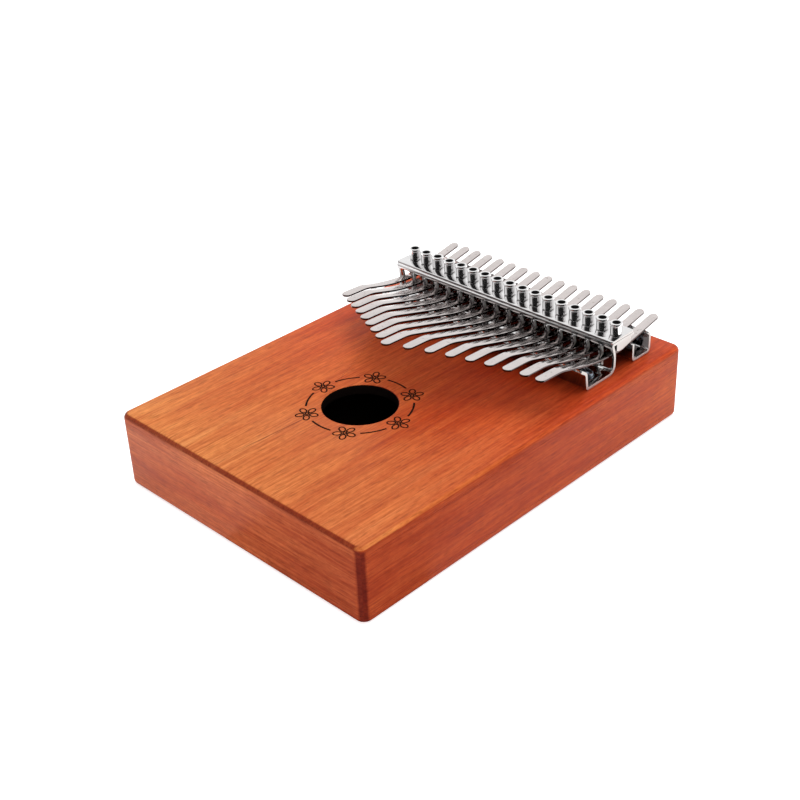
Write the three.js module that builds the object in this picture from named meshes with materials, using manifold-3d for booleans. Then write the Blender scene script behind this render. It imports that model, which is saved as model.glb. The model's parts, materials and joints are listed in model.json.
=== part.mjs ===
// Seventeen-key box mbira (kalimba), built the way the real one comes apart on a bench.
//
// A hollow wooden box (soundboard, routed frame, back plate) carries a bent sheet-metal front bridge and
// a rear channel.  Seventeen spring-steel tines lie across both, and a clamp bar with one threaded barrel
// per tine presses them down between the two.
//
// Frame: millimetres, +Z up, X across the box, +Y from the playing end towards the bridge end.
// The origin is the middle of the underside.

import * as THREE from 'three';
import { mergeVertices } from 'three/addons/utils/BufferGeometryUtils.js';
import Module from 'manifold-3d';

const wasm = await Module();
wasm.setup();

// ---------------------------------------------------------------------------------------------------
// Driving dimensions
// ---------------------------------------------------------------------------------------------------

// Wooden box
const BOX_WIDTH = 134;
const BOX_LENGTH = 185;
const BOX_HEIGHT = 32.5;
const BOX_CORNER = 4;
const EDGE_ROUND = 2.6;
const SOUNDBOARD_THICKNESS = 4;
const BACK_THICKNESS = 3.5;
const GLUE_LINE = 0.05;
const SIDE_WALL = 9;
const CHAMBER_CORNER = 6;
const CHAMBER_REAR = 30;
const SOUND_HOLE_RADIUS = 15;
const SOUND_HOLE_Y = -27;

// Tines
const TINE_COUNT = 17;
const TINE_PITCH = 6.85;
const TINE_ROW_CENTRE = 1.8;
const TINE_WIDTH = 4.2;
const TINE_THICKNESS = 0.9;
const LONGEST_TONGUE = 50.5;
const SHORTEST_LEFT_TONGUE = 18.5;
const SHORTEST_RIGHT_TONGUE = 23;
const RIGHT_SIDE_EASE = 1.6;
const TONGUE_RISE = THREE.MathUtils.degToRad(15.5);
const FINGER_RISE = THREE.MathUtils.degToRad(2.5);
const FINGER_LENGTH = 10;
const FINGER_BEND_LENGTH = 5;
const TAIL_SLOPE = 0.19;
const TAIL_BEND = 1.5;
const TAIL_END_Y = 87;
const TINE_SPLIT = 0.3;
const END_ROUND_STATIONS = [2.1, 1.2, 0.5, 0];
const END_BLUNT = 0.15;

// Metalwork
const SHEET = 1.2;
const SEAT_GAP = 0.1;
const LIP_Y = 34;
const LIP_TOP = 42.9;
const LIP_GAP = 0.55;
const NOSE_Y = 60;
const NOSE_GAP = 0.4;
const REAR_GAP = 0.35;
const BRIDGE_HALF_LENGTH = 59;
const BRIDGE_CENTRE = 1;
const FLANGE_Z = 45.8;
const FLANGE_REAR_Y = 67.3;
const WALL_SLOT_WIDTH = 5;
const WALL_SLOT_LOW = 34.4;
const WALL_SLOT_HIGH = 44.3;
const WALL_SLOT_CORNER = 1.3;
const TOP_PLATE_THICKNESS = 1;
const TOP_PLATE_FRONT_Y = 53.2;
const TOP_PLATE_CORNER = 0.8;
const REAR_CHANNEL_FRONT_Y = 67.7;
const REAR_CHANNEL_REAR_Y = 78.8;
const REAR_FOLD = 1.4;
const END_INSET = 0.6;

// Clamp barrels and mounting screws
const BARREL_RADIUS = 2.35;
const BARREL_RIM_RADIUS = 2.6;
const BARREL_HEIGHT = 5;
const BARREL_RIM_HEIGHT = 0.9;
const BARREL_CHAMFER = 0.25;
const BARREL_BORE_RADIUS = 1.65;
const BARREL_BORE_DEPTH = 3.9;
const SPIGOT_RADIUS = 1.5;
const SPIGOT_CLEARANCE = 0.35;
const TURNED_SIDES = 12;
const SCREW_Y = 46;
const SCREW_HEAD_RADIUS = 3;
const SCREW_HEAD_HEIGHT = 1.8;
const SCREW_SHANK_RADIUS = 1.4;
const SCREW_POINT = 2.5;
const SCREW_LENGTH = 14;
const SCREW_HOLE_RADIUS = 1.7;

// Heights and places that follow from them
const FRAME_TOP = BOX_HEIGHT - SOUNDBOARD_THICKNESS;
const TINE_LIP_Z = LIP_TOP + LIP_GAP + TINE_THICKNESS / 2;
const TINE_NOSE_Z = TINE_LIP_Z - Math.tan(TONGUE_RISE) * (NOSE_Y - LIP_Y) / 2;
const NOSE_Z = TINE_NOSE_Z + TINE_THICKNESS / 2 + NOSE_GAP;
const BASE_Z = BOX_HEIGHT + SEAT_GAP + SHEET / 2;
const TOP_PLATE_Z = FLANGE_Z + SHEET / 2 + SEAT_GAP;
const BARREL_SEAT_Z = TOP_PLATE_Z + TOP_PLATE_THICKNESS + SEAT_GAP;
const SCREW_XS = {
  left: tineX(0) + TINE_PITCH / 2,
  right: tineX(TINE_COUNT - 1) - TINE_PITCH / 2,
};

// ---------------------------------------------------------------------------------------------------
// Materials
// ---------------------------------------------------------------------------------------------------

const MATERIALS = {
  top: { color: 0xb4552a, roughness: 0.42, metalness: 0 },
  side: { color: 0xa4502f, roughness: 0.5, metalness: 0 },
  chrome: { color: 0xd4d6da, roughness: 0.12, metalness: 1 },
  spring: { color: 0xc9c9c6, roughness: 0.25, metalness: 1 },
  screw: { color: 0x9fa2a6, roughness: 0.3, metalness: 1 },
};

// ---------------------------------------------------------------------------------------------------
// Geometry helpers
// ---------------------------------------------------------------------------------------------------

function toSolid(geometry) {
  const bare = geometry.clone();
  bare.deleteAttribute('normal');
  bare.deleteAttribute('uv');
  const merged = mergeVertices(bare, 1e-4);
  return new wasm.Manifold(new wasm.Mesh({
    numProp: 3,
    vertProperties: new Float32Array(merged.attributes.position.array),
    triVerts: new Uint32Array(merged.index.array),
  }));
}

function cut(geometry, cutters) {
  let solid = toSolid(geometry);
  for (const cutter of cutters) {
    solid = solid.subtract(toSolid(cutter));
  }
  const mesh = solid.getMesh();
  const result = new THREE.BufferGeometry();
  result.setAttribute('position', new THREE.BufferAttribute(new Float32Array(mesh.vertProperties), 3));
  result.setIndex(new THREE.BufferAttribute(new Uint32Array(mesh.triVerts), 1));
  result.computeVertexNormals();
  return result;
}

// Skins a stack of convex rings that all have the same number of points.
function loft(rings) {
  const count = rings[0].length;
  const last = (rings.length - 1) * count;
  const index = [];
  for (let ring = 0; ring + 1 < rings.length; ring += 1) {
    for (let k = 0; k < count; k += 1) {
      const a = ring * count + k;
      const b = ring * count + ((k + 1) % count);
      index.push(a, b, b + count, a, b + count, a + count);
    }
  }
  for (let k = 1; k + 1 < count; k += 1) {
    index.push(0, k + 1, k, last, last + k, last + k + 1);
  }
  const geometry = new THREE.BufferGeometry();
  const positions = rings.flat().flatMap((point) => point.toArray());
  geometry.setAttribute('position', new THREE.Float32BufferAttribute(positions, 3));
  geometry.setIndex(index);
  geometry.computeVertexNormals();
  return geometry;
}

function roundedRing(width, length, radius, z, steps = 4) {
  const corners = [[1, -1, -90], [1, 1, 0], [-1, 1, 90], [-1, -1, 180]];
  return corners.flatMap(([sideX, sideY, startDegrees]) => {
    const centreX = sideX * (width / 2 - radius);
    const centreY = sideY * (length / 2 - radius);
    return Array.from({ length: steps + 1 }, (_, step) => {
      const angle = THREE.MathUtils.degToRad(startDegrees + (90 * step) / steps);
      return new THREE.Vector3(centreX + radius * Math.cos(angle), centreY + radius * Math.sin(angle), z);
    });
  });
}

// A slab of the box's outline; its profile is a list of [inset from the outline, height].
function boxSlab(profile) {
  return loft(profile.map(([inset, z]) => roundedRing(
    BOX_WIDTH - 2 * inset,
    BOX_LENGTH - 2 * inset,
    BOX_CORNER - inset,
    z,
  )));
}

function quarterRound(steps = 4) {
  return Array.from({ length: steps + 1 }, (_, step) => {
    const angle = (Math.PI / 2) * (step / steps);
    return { inset: EDGE_ROUND * (1 - Math.cos(angle)), drop: EDGE_ROUND * (1 - Math.sin(angle)) };
  });
}

function drill(x, y, bottom, top, radius, sides = 10) {
  const cylinder = new THREE.CylinderGeometry(radius, radius, top - bottom, sides);
  cylinder.rotateX(Math.PI / 2);
  cylinder.translate(x, y, (top + bottom) / 2);
  return cylinder;
}

function roundedRectangle(width, height, radius) {
  const shape = new THREE.Shape();
  const halfWidth = width / 2;
  const halfHeight = height / 2;
  shape.absarc(halfWidth - radius, -halfHeight + radius, radius, -Math.PI / 2, 0);
  shape.absarc(halfWidth - radius, halfHeight - radius, radius, 0, Math.PI / 2);
  shape.absarc(-halfWidth + radius, halfHeight - radius, radius, Math.PI / 2, Math.PI);
  shape.absarc(-halfWidth + radius, -halfHeight + radius, radius, Math.PI, Math.PI * 1.5);
  return shape;
}

// Extrudes a section drawn as (Y, Z) along X, from fromX to toX.
function alongX(shape, fromX, toX) {
  const geometry = new THREE.ExtrudeGeometry(shape, { depth: toX - fromX, bevelEnabled: false });
  geometry.applyMatrix4(new THREE.Matrix4().makeBasis(
    new THREE.Vector3(0, 1, 0),
    new THREE.Vector3(0, 0, 1),
    new THREE.Vector3(1, 0, 0),
  ));
  geometry.translate(fromX, 0, 0);
  return geometry;
}

// A path through [y, z, setback] corners, each rounded over its setback.
function roundedPath(corners) {
  const points = corners.map(([y, z]) => new THREE.Vector2(y, z));
  return corners.flatMap(([, , setback = 0], i) => {
    if (setback === 0) {
      return [points[i]];
    }
    const start = points[i].clone().lerp(points[i - 1], setback / points[i].distanceTo(points[i - 1]));
    const end = points[i].clone().lerp(points[i + 1], setback / points[i].distanceTo(points[i + 1]));
    return new THREE.QuadraticBezierCurve(start, points[i], end).getPoints(3);
  });
}

// The outline of a sheet of constant thickness folded along a path.
function bentSheet(path) {
  const offsetSide = (side) => path.map((point, i) => {
    const before = path[Math.max(i - 1, 0)];
    const after = path[Math.min(i + 1, path.length - 1)];
    const into = point.clone().sub(before).normalize();
    const out = after.clone().sub(point).normalize();
    const along = into.clone().add(out).normalize();
    const stretch = 1 / Math.max(along.dot(into.lengthSq() ? into : out), 0.5);
    return new THREE.Vector2(
      point.x - along.y * side * (SHEET / 2) * stretch,
      point.y + along.x * side * (SHEET / 2) * stretch,
    );
  });
  return new THREE.Shape([...offsetSide(1), ...offsetSide(-1).reverse()]);
}

// ---------------------------------------------------------------------------------------------------
// Tine layout
// ---------------------------------------------------------------------------------------------------

function tineX(i) {
  return TINE_ROW_CENTRE + (i - (TINE_COUNT - 1) / 2) * TINE_PITCH;
}

// The longest tongue is in the middle; the others shorten evenly to the left and in an easing curve to
// the right.
function tongueLength(i) {
  const middle = (TINE_COUNT - 1) / 2;
  const away = Math.abs(i - middle) / middle;
  if (i < middle) {
    return LONGEST_TONGUE - (LONGEST_TONGUE - SHORTEST_LEFT_TONGUE) * away;
  }
  const shortening = 1 - (1 - away) ** RIGHT_SIDE_EASE;
  return LONGEST_TONGUE - (LONGEST_TONGUE - SHORTEST_RIGHT_TONGUE) * shortening;
}

// Height of the tine's middle surface behind the lip: it sags from the lip to the clamp bar's nose and
// rises again over the rear channel.
function tineHeight(y) {
  if (y < NOSE_Y) {
    const sag = (NOSE_Y - y) / (NOSE_Y - LIP_Y);
    return TINE_NOSE_Z + (TINE_LIP_Z - TINE_NOSE_Z) * sag * sag;
  }
  return TINE_NOSE_Z + TAIL_SLOPE * (Math.hypot(y - NOSE_Y, TAIL_BEND) - TAIL_BEND);
}

// Half width at a distance from a rounded end.
function halfWidth(fromEnd) {
  const radius = TINE_WIDTH / 2;
  return fromEnd >= radius ? radius : Math.sqrt(radius ** 2 - (radius - Math.max(fromEnd, END_BLUNT)) ** 2);
}

function stripRing({ x, y, z, angle, half }) {
  const normalY = Math.sin(angle) * (TINE_THICKNESS / 2);
  const normalZ = Math.cos(angle) * (TINE_THICKNESS / 2);
  return [
    new THREE.Vector3(x - half, y - normalY, z - normalZ),
    new THREE.Vector3(x + half, y - normalY, z - normalZ),
    new THREE.Vector3(x + half, y + normalY, z + normalZ),
    new THREE.Vector3(x - half, y + normalY, z + normalZ),
  ];
}

// The free part of the tine, from the lip forwards.  angle is its rise towards the tip.
function tongueStrip(i) {
  const length = tongueLength(i);
  const bendEnd = length - FINGER_LENGTH;
  const bendStart = bendEnd - FINGER_BEND_LENGTH;
  const bend = [0, 0.25, 0.5, 0.75, 1].map((part) => bendStart + part * FINGER_BEND_LENGTH);
  const stations = [TINE_SPLIT / 2, ...bend, ...END_ROUND_STATIONS.map((fromEnd) => length - fromEnd)];
  const riseAt = (along) => THREE.MathUtils.mapLinear(
    THREE.MathUtils.clamp(along, bendStart, bendEnd),
    bendStart,
    bendEnd,
    TONGUE_RISE,
    FINGER_RISE,
  );
  const place = { along: 0, y: LIP_Y, z: TINE_LIP_Z };
  const rings = stations.map((along) => {
    const step = along - place.along;
    const middleRise = riseAt((along + place.along) / 2);
    place.along = along;
    place.y -= step * Math.cos(middleRise);
    place.z += step * Math.sin(middleRise);
    return stripRing({
      x: tineX(i),
      y: place.y,
      z: place.z,
      angle: riseAt(along),
      half: halfWidth(length - along),
    });
  });
  return loft(rings);
}

// The held part of the tine, from its rear end forwards to the lip.
function tailStrip(i) {
  const front = LIP_Y + TINE_SPLIT / 2;
  const sag = NOSE_Y - front;
  const rise = TAIL_END_Y - NOSE_Y;
  const held = [
    ...[0.7, 0.5, 0.3, 0.16, 0.08, 0.03].map((part) => NOSE_Y + part * rise),
    ...[0, 0.17, 0.38, 0.58, 0.8, 1].map((part) => NOSE_Y - part * sag),
  ];
  const ends = END_ROUND_STATIONS.map((fromEnd) => TAIL_END_Y - fromEnd).reverse();
  const probe = 0.05;
  const rings = [...ends, ...held].map((y) => stripRing({
    x: tineX(i),
    y,
    z: tineHeight(y),
    angle: Math.atan2(tineHeight(y - probe) - tineHeight(y + probe), 2 * probe),
    half: halfWidth(TAIL_END_Y - y),
  }));
  return loft(rings);
}

// ---------------------------------------------------------------------------------------------------
// Wooden box
// ---------------------------------------------------------------------------------------------------

function screwHoles(bottom, top) {
  return Object.values(SCREW_XS).map((x) => drill(x, SCREW_Y, bottom, top, SCREW_HOLE_RADIUS));
}

function soundboard() {
  const rounded = quarterRound().map(({ inset, drop }) => [inset, BOX_HEIGHT - drop]);
  return cut(boxSlab([[0, FRAME_TOP], ...rounded]), [
    drill(0, SOUND_HOLE_Y, FRAME_TOP - 1, BOX_HEIGHT + 1, SOUND_HOLE_RADIUS, 40),
    ...screwHoles(FRAME_TOP - 1, BOX_HEIGHT + 1),
  ]);
}

function bodyFrame() {
  const bottom = BACK_THICKNESS + GLUE_LINE;
  const top = FRAME_TOP - GLUE_LINE;
  const front = -BOX_LENGTH / 2 + SIDE_WALL;
  const chamberLength = CHAMBER_REAR - front;
  const chamber = loft([bottom - 1, top + 1].map((z) => roundedRing(
    BOX_WIDTH - 2 * SIDE_WALL,
    chamberLength,
    CHAMBER_CORNER,
    z,
  )));
  chamber.translate(0, front + chamberLength / 2, 0);
  const screwEnd = BASE_Z - SCREW_LENGTH - 1;
  return cut(boxSlab([[0, bottom], [0, top]]), [chamber, ...screwHoles(screwEnd, top + 1)]);
}

function backPlate() {
  const rounded = quarterRound().reverse().map(({ inset, drop }) => [inset, drop]);
  return boxSlab([...rounded, [0, BACK_THICKNESS]]);
}

// ---------------------------------------------------------------------------------------------------
// Bridge metalwork
// ---------------------------------------------------------------------------------------------------

// One bent sheet: lip, base, slotted wall and the flange that the clamp bar hangs from.
function bridgeChannel() {
  const path = roundedPath([
    [LIP_Y, LIP_TOP - SHEET / 2 + 0.1],
    [37.2, 40.2, 1.2],
    [38, BASE_Z, 0.8],
    [55.2, BASE_Z, 3.4],
    [55.4, 40.6, 2.4],
    [53.7, FLANGE_Z, 0.9],
    [FLANGE_REAR_Y, FLANGE_Z],
  ]);
  const blank = alongX(bentSheet(path), BRIDGE_CENTRE - BRIDGE_HALF_LENGTH, BRIDGE_CENTRE + BRIDGE_HALF_LENGTH);
  const slotHeight = WALL_SLOT_HIGH - WALL_SLOT_LOW;
  const wallSlots = tineIndices().map((i) => {
    const slot = new THREE.ExtrudeGeometry(roundedRectangle(WALL_SLOT_WIDTH, slotHeight, WALL_SLOT_CORNER), {
      depth: 10,
      bevelEnabled: false,
      curveSegments: 2,
    });
    slot.rotateX(Math.PI / 2);
    slot.translate(tineX(i), NOSE_Y - 1, (WALL_SLOT_HIGH + WALL_SLOT_LOW) / 2);
    return slot;
  });
  const flangeHoles = spigotHoles(FLANGE_Z - 2, FLANGE_Z + 2);
  return cut(blank, [...wallSlots, ...flangeHoles, ...screwHoles(BASE_Z - 2, BASE_Z + 2)]);
}

function tineIndices() {
  return Array.from({ length: TINE_COUNT }, (_, i) => i);
}

function spigotHoles(bottom, top) {
  return tineIndices().map((i) => drill(tineX(i), NOSE_Y, bottom, top, SPIGOT_RADIUS + SPIGOT_CLEARANCE));
}

function topPlate() {
  const depth = FLANGE_REAR_Y - TOP_PLATE_FRONT_Y;
  const plate = new THREE.ExtrudeGeometry(roundedRectangle(2 * BRIDGE_HALF_LENGTH, depth, TOP_PLATE_CORNER), {
    depth: TOP_PLATE_THICKNESS,
    bevelEnabled: false,
    curveSegments: 3,
  });
  plate.translate(BRIDGE_CENTRE, TOP_PLATE_FRONT_Y + depth / 2, TOP_PLATE_Z);
  return cut(plate, spigotHoles(TOP_PLATE_Z - 1, TOP_PLATE_Z + TOP_PLATE_THICKNESS + 1));
}

// A solid bar with a narrow nose; the bevel behind it leaves room for the rising tails.
function clampBar() {
  const top = FLANGE_Z - SHEET / 2 - SEAT_GAP;
  const section = new THREE.Shape([
    [57.2, top],
    [57.2, NOSE_Z + 0.7],
    [58.6, NOSE_Z],
    [61, NOSE_Z],
    [66.5, NOSE_Z + 1.4],
    [66.5, top],
  ].map(([y, z]) => new THREE.Vector2(y, z)));
  const halfLength = BRIDGE_HALF_LENGTH - END_INSET;
  const bar = alongX(section, BRIDGE_CENTRE - halfLength, BRIDGE_CENTRE + halfLength);
  return cut(bar, spigotHoles(NOSE_Z - 1, top + 1));
}

// A shallow trough whose two edges carry the tails; its rear edge is folded inwards.
function rearChannel() {
  const seatAt = (y) => tineHeight(y) - TINE_THICKNESS / 2 - REAR_GAP;
  const foldedY = REAR_CHANNEL_REAR_Y - REAR_FOLD;
  const path = roundedPath([
    [REAR_CHANNEL_FRONT_Y, seatAt(REAR_CHANNEL_FRONT_Y) - 0.1],
    [REAR_CHANNEL_FRONT_Y, BASE_Z, 1.6],
    [REAR_CHANNEL_REAR_Y, BASE_Z, 1.6],
    [REAR_CHANNEL_REAR_Y, seatAt(foldedY) - 1.8, 0.6],
    [foldedY, seatAt(foldedY) - 0.5],
  ]);
  return alongX(bentSheet(path), BRIDGE_CENTRE - BRIDGE_HALF_LENGTH, BRIDGE_CENTRE + BRIDGE_HALF_LENGTH);
}

// A hollow barrel on the top plate whose spigot reaches down through plate, flange and bar to its tine.
function clampBarrel(i) {
  const top = BARREL_SEAT_Z + BARREL_HEIGHT;
  const profile = [
    [0, NOSE_Z],
    [SPIGOT_RADIUS, NOSE_Z],
    [SPIGOT_RADIUS, BARREL_SEAT_Z],
    [BARREL_RADIUS, BARREL_SEAT_Z],
    [BARREL_RADIUS, top - BARREL_RIM_HEIGHT - BARREL_CHAMFER],
    [BARREL_RIM_RADIUS, top - BARREL_RIM_HEIGHT],
    [BARREL_RIM_RADIUS, top - BARREL_CHAMFER],
    [BARREL_RIM_RADIUS - BARREL_CHAMFER, top],
    [BARREL_BORE_RADIUS, top],
    [BARREL_BORE_RADIUS, top - BARREL_BORE_DEPTH],
    [0, top - BARREL_BORE_DEPTH],
  ].map(([radius, z]) => new THREE.Vector2(radius, z));
  const barrel = new THREE.LatheGeometry(profile, TURNED_SIDES);
  barrel.rotateX(Math.PI / 2);
  barrel.translate(tineX(i), NOSE_Y, 0);
  return barrel;
}

function mountingScrew(x) {
  const seat = BASE_Z + SHEET / 2 + SEAT_GAP;
  const rim = SCREW_HEAD_HEIGHT * 0.22;
  const dome = [0, 25, 50, 75].map((degrees) => {
    const angle = THREE.MathUtils.degToRad(degrees);
    return [SCREW_HEAD_RADIUS * Math.cos(angle), seat + rim + (SCREW_HEAD_HEIGHT - rim) * Math.sin(angle)];
  });
  const profile = [
    [0, seat - SCREW_LENGTH],
    [SCREW_SHANK_RADIUS * 0.3, seat - SCREW_LENGTH],
    [SCREW_SHANK_RADIUS, seat - SCREW_LENGTH + SCREW_POINT],
    [SCREW_SHANK_RADIUS, seat],
    [SCREW_HEAD_RADIUS, seat],
    ...dome,
    [0, seat + SCREW_HEAD_HEIGHT],
  ].map(([radius, z]) => new THREE.Vector2(radius, z));
  const screw = new THREE.LatheGeometry(profile, TURNED_SIDES);
  screw.rotateX(Math.PI / 2);
  screw.translate(x, SCREW_Y, 0);
  return screw;
}

// ---------------------------------------------------------------------------------------------------
// Assembly
// ---------------------------------------------------------------------------------------------------

const mbira = new THREE.Group();

function add(name, geometry, finish) {
  const mesh = new THREE.Mesh(geometry, new THREE.MeshStandardMaterial(MATERIALS[finish]));
  mesh.name = name;
  mbira.add(mesh);
}

add('soundboard', soundboard(), 'top');
add('body_frame', bodyFrame(), 'side');
add('back_plate', backPlate(), 'side');
add('bridge_channel', bridgeChannel(), 'chrome');
add('top_plate', topPlate(), 'chrome');
add('clamp_bar', clampBar(), 'chrome');
add('rear_channel', rearChannel(), 'chrome');
for (const [side, x] of Object.entries(SCREW_XS)) {
  add(`bridge_screw_${side}`, mountingScrew(x), 'screw');
}
for (const i of tineIndices()) {
  const number = String(i + 1).padStart(2, '0');
  add(`clamp_barrel_${number}`, clampBarrel(i), 'chrome');
  add(`tine_${number}`, tongueStrip(i), 'spring');
  add(`tine_tail_${number}`, tailStrip(i), 'spring');
}

export default mbira;
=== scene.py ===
import json
import math

import bmesh
import bpy
import numpy as np
from mathutils import Matrix, Quaternion, Vector


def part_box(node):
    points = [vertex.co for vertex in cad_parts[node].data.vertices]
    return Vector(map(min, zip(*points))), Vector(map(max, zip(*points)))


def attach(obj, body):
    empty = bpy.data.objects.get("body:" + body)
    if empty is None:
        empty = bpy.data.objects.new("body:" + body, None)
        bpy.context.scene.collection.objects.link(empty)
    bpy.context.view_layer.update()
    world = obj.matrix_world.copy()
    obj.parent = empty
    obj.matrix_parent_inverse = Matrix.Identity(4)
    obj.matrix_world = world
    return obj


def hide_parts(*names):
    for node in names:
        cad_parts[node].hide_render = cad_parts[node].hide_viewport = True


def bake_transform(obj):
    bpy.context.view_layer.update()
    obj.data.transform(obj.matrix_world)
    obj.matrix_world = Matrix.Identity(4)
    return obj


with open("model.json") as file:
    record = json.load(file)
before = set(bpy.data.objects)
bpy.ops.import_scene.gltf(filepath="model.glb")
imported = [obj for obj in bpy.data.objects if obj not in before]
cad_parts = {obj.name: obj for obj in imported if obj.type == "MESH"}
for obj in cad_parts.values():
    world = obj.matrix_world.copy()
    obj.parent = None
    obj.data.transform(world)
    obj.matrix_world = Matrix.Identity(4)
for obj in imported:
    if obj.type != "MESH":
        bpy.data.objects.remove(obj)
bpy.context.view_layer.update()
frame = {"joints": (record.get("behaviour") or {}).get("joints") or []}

MM = 0.001
ROOT = "root"

# ---------------------------------------------------------------------------------------------------
# Places and sizes, read from the frame
# ---------------------------------------------------------------------------------------------------

BOARD_LOW, BOARD_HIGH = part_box("soundboard")
FRAME_LOW, FRAME_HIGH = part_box("body_frame")
BACK_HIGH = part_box("back_plate")[1]
BRIDGE_LOW, BRIDGE_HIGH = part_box("bridge_channel")
PLATE_LOW, PLATE_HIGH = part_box("top_plate")
BAR_LOW, BAR_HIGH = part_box("clamp_bar")
REAR_LOW, REAR_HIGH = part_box("rear_channel")

BOX_WIDTH = BOARD_HIGH.x - BOARD_LOW.x
BOX_LENGTH = BOARD_HIGH.y - BOARD_LOW.y
BOX_TOP = BOARD_HIGH.z
BOX_CORNER = 4 * MM
EDGE_ROUND = 2.1 * MM
SIDE_WALL = 9 * MM
CHAMBER_REAR = 30 * MM
CHAMBER_CORNER = 6 * MM
SOUND_HOLE = Vector((0, -27 * MM))
SOUND_HOLE_RADIUS = 15 * MM

TINES = [f"{n:02d}" for n in range(1, 18)]
TINE_WIDTH = 4.2 * MM
TINE_THICKNESS = 0.9 * MM
TONGUE_RISE = math.radians(15.5)
FINGER_RISE = math.radians(2.5)
FINGER_LENGTH = 10 * MM
FINGER_BEND = 5 * MM
TAIL_SLOPE = 0.19
TAIL_BEND = 1.5 * MM

HINGES = {joint["name"]: Vector(joint["pos_m"]) for joint in frame["joints"] if "pos_m" in joint}
LIP_Y = HINGES["tine_01_flex"].y
TINE_LIP_Z = HINGES["tine_01_flex"].z
NOSE_Y = sum(c.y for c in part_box("clamp_barrel_01")) / 2
TINE_NOSE_Z = TINE_LIP_Z - math.tan(TONGUE_RISE) * (NOSE_Y - LIP_Y) / 2

SHEET = 1.2 * MM
SHEET_EASE = 0.24 * MM
SEAT_GAP = 0.1 * MM
LIP_TOP = TINE_LIP_Z - TINE_THICKNESS / 2 - 0.55 * MM
BASE_Z = BOX_TOP + SEAT_GAP + SHEET / 2
FLANGE_Z = BRIDGE_HIGH.z - SHEET / 2
SCREW_Y = sum(c.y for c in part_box("bridge_screw_left")) / 2
SCREW_HOLE_RADIUS = 1.7 * MM
BARREL_HOLE_RADIUS = 1.85 * MM
WALL_SLOT_WIDTH = 5 * MM
WALL_SLOT_CORNER = 1.4 * MM
WALL_SLOT_LOW = 34.4 * MM
WALL_SLOT_HIGH = 44.3 * MM


def tine_x(number):
    low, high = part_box(f"tine_{number}")
    return (low.x + high.x) / 2


# ---------------------------------------------------------------------------------------------------
# Mesh helpers
# ---------------------------------------------------------------------------------------------------

def new_object(name, vertices, faces):
    mesh = bpy.data.meshes.new(name)
    mesh.from_pydata([tuple(v) for v in vertices], [], faces)
    mesh.update()
    obj = bpy.data.objects.new(name, mesh)
    bpy.context.scene.collection.objects.link(obj)
    return obj


def smooth(obj, degrees=35):
    """Smooth shading with hard edges above an angle."""
    for polygon in obj.data.polygons:
        polygon.use_smooth = True
    obj.data.set_sharp_from_angle(angle=math.radians(degrees))
    return obj


def bake_modifiers(obj):
    depsgraph = bpy.context.evaluated_depsgraph_get()
    mesh = bpy.data.meshes.new_from_object(obj.evaluated_get(depsgraph))
    obj.modifiers.clear()
    old = obj.data
    obj.data = mesh
    bpy.data.meshes.remove(old)
    return obj


def carve(obj, cutters):
    """Cuts every cutter out of obj and removes the cutters."""
    joined = join(cutters, "cutters")
    modifier = obj.modifiers.new("carve", "BOOLEAN")
    modifier.operation = "DIFFERENCE"
    modifier.solver = "EXACT"
    modifier.object = joined
    bpy.context.view_layer.update()
    bake_modifiers(obj)
    bpy.data.objects.remove(joined)
    return obj


def ease_edges(obj, width, segments=2, degrees=40):
    modifier = obj.modifiers.new("ease", "BEVEL")
    modifier.width = width
    modifier.segments = segments
    modifier.limit_method = "ANGLE"
    modifier.angle_limit = math.radians(degrees)
    bpy.context.view_layer.update()
    return bake_modifiers(obj)


def join(objects, name):
    """One object from several; faces stay separate shells."""
    result = bmesh.new()
    for obj in objects:
        result.from_mesh(obj.data)
        bpy.data.objects.remove(obj)
    mesh = bpy.data.meshes.new(name)
    result.to_mesh(mesh)
    result.free()
    obj = bpy.data.objects.new(name, mesh)
    bpy.context.scene.collection.objects.link(obj)
    return obj


def loft(name, rings, closed=False):
    """Skins rings that have equal point counts, closing with caps, or back onto the first ring."""
    count = len(rings[0])
    vertices = [point for ring in rings for point in ring]
    faces = []
    spans = len(rings) if closed else len(rings) - 1
    for span in range(spans):
        first = span * count
        second = ((span + 1) % len(rings)) * count
        for k in range(count):
            after = (k + 1) % count
            faces.append((first + k, first + after, second + after, second + k))
    if not closed:
        last = (len(rings) - 1) * count
        faces.append(tuple(reversed(range(count))))
        faces.append(tuple(range(last, last + count)))
    return new_object(name, vertices, faces)


def rounded_ring(width, length, radius, z, centre=(0, 0), steps=12):
    points = []
    for side_x, side_y, start in ((1, -1, -90), (1, 1, 0), (-1, 1, 90), (-1, -1, 180)):
        corner_x = centre[0] + side_x * (width / 2 - radius)
        corner_y = centre[1] + side_y * (length / 2 - radius)
        for step in range(steps + 1):
            angle = math.radians(start + 90 * step / steps)
            points.append((corner_x + radius * math.cos(angle), corner_y + radius * math.sin(angle), z))
    return points


def box_ring(inset, z):
    return rounded_ring(BOX_WIDTH - 2 * inset, BOX_LENGTH - 2 * inset, BOX_CORNER - inset, z)


def quarter(steps=8):
    """Inset and drop along a quarter-round edge, from its foot to its top."""
    for step in range(steps + 1):
        angle = math.pi / 2 * step / steps
        yield EDGE_ROUND * (1 - math.cos(angle)), EDGE_ROUND * (1 - math.sin(angle))


def circle_ring(radius, z, count, centre=SOUND_HOLE, start=-54):
    angles = [math.radians(start + 360 * k / count) for k in range(count)]
    return [(centre.x + radius * math.cos(a), centre.y + radius * math.sin(a), z) for a in angles]


def turned(name, profile, x, y, segments=48):
    """A turned piece: profile is (radius, z) from the axis at the bottom round to the axis at the top."""
    rings = [
        [(x + r * math.cos(a), y + r * math.sin(a), z)
         for a in (2 * math.pi * k / segments for k in range(segments))]
        for r, z in profile
    ]
    return loft(name, rings)


def rod(name, x, y, low, high, radius, segments=32):
    return turned(name, [(radius, low), (radius, high)], x, y, segments)


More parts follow.
